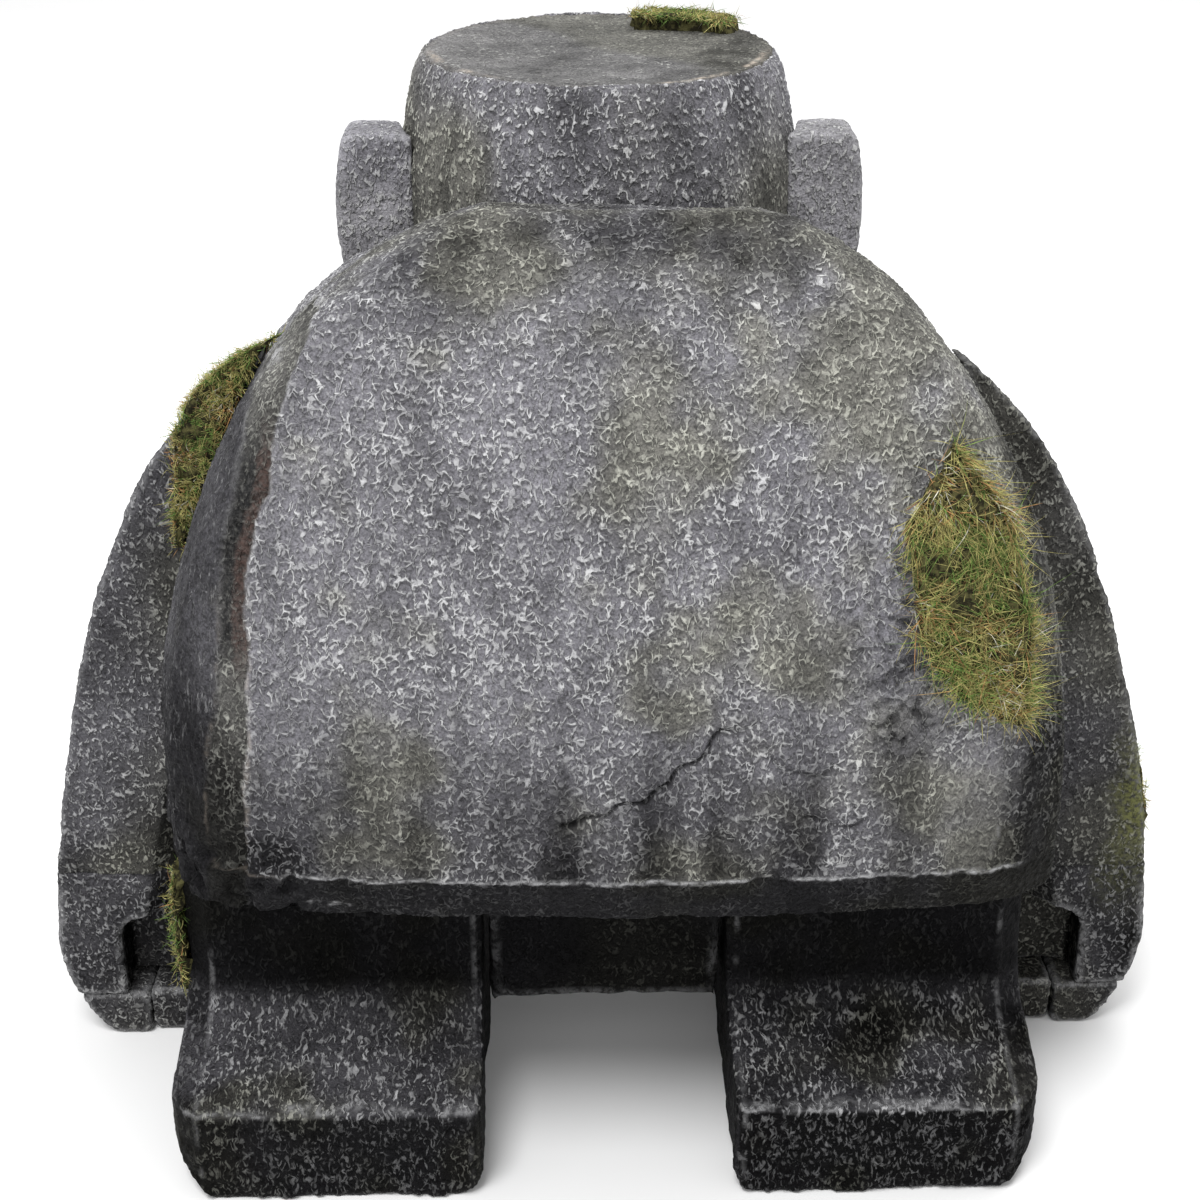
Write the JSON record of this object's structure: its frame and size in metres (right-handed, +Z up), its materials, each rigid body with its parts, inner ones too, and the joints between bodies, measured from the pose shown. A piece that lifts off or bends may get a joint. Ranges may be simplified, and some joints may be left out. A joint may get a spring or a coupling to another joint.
{
  "type": "resin cave ornament",
  "caption": "Stone-look resin guardian figure with a hollow humped body over a low cave passage, block ears, slab arms, boot legs and moss patches.",
  "frame": {"origin": "on the ground under the middle of the figure's bounding box", "axes": "+Z up, +X towards the figure's left arm, +Y towards its back, so the face looks along -Y"},
  "size_m": [0.21, 0.14, 0.1835],
  "materials": {
    "cast_resin": "cast resin painted and dry-brushed as pitted grey stone",
    "dark_resin": "cast resin painted as dark wet stone",
    "dowel_plastic": "plain moulded dowel",
    "moss_flock": "static-grass flock in yellow green with dry tips"
  },
  "bodies": {
    "root": {"back_shell": "cast_resin", "chest_shell": "cast_resin", "head_drum": "cast_resin", "crown_plate": "cast_resin", "face_mask": "cast_resin", "under_plate": "dark_resin", "hip_bridge": "dark_resin", "neck_collar": "dark_resin", "left_leg": "cast_resin", "right_leg": "cast_resin", "left_ear": "cast_resin", "right_ear": "cast_resin", "left_arm": "cast_resin", "right_arm": "cast_resin", "left_hand": "cast_resin", "right_hand": "cast_resin", "left_outer_finger": "cast_resin", "right_outer_finger": "cast_resin", "left_inner_finger": "cast_resin", "right_inner_finger": "cast_resin", "left_thumb": "cast_resin", "right_thumb": "cast_resin", "neck_dowel": "dowel_plastic", "left_hip_dowel": "dowel_plastic", "right_hip_dowel": "dowel_plastic", "left_shoulder_dowel": "dowel_plastic", "right_shoulder_dowel": "dowel_plastic", "left_ear_dowel": "dowel_plastic", "right_ear_dowel": "dowel_plastic", "left_wrist_dowel": "dowel_plastic", "right_wrist_dowel": "dowel_plastic", "left_bridge_dowel": "dowel_plastic", "right_bridge_dowel": "dowel_plastic", "back_moss": "moss_flock", "left_shoulder_moss": "moss_flock", "crown_moss": "moss_flock", "left_leg_moss": "moss_flock", "right_arm_moss": "moss_flock"}
  },
  "joints": []
}
